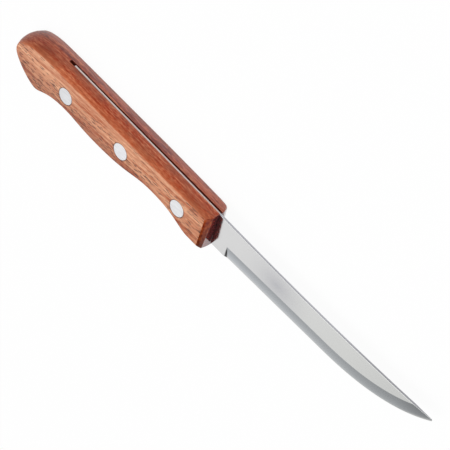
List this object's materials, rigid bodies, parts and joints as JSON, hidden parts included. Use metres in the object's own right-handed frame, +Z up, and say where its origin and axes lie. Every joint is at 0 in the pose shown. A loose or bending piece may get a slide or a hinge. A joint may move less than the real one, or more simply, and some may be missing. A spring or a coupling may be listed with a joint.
{
  "type": "kitchen knife",
  "caption": "Slim fixed-blade kitchen knife: stamped steel blade with an upswept tip, its tang slotted into a lacquered hardwood handle and held by flush aluminium rivets.",
  "frame": {"origin": "under the middle of the knife's box, in the plane that the knife lies on", "axes": "+X along the knife to the tip, +Y to the spine, +Z up through the thickness of the handle"},
  "size_m": [0.2084, 0.0226, 0.0118],
  "materials": {
    "handle_wood": "satin lacquer over straight-grained reddish-brown hardwood",
    "blade_steel": "polished stainless steel with a ground hollow bevel",
    "rivet_aluminium": "satin, sanded flush with the wood"
  },
  "bodies": {
    "root": {"handle": "handle_wood", "blade": "blade_steel", "front_rivet_tube": "rivet_aluminium", "front_rivet_pin": "rivet_aluminium", "middle_rivet_tube": "rivet_aluminium", "middle_rivet_pin": "rivet_aluminium", "rear_rivet_tube": "rivet_aluminium", "rear_rivet_pin": "rivet_aluminium"}
  },
  "joints": []
}
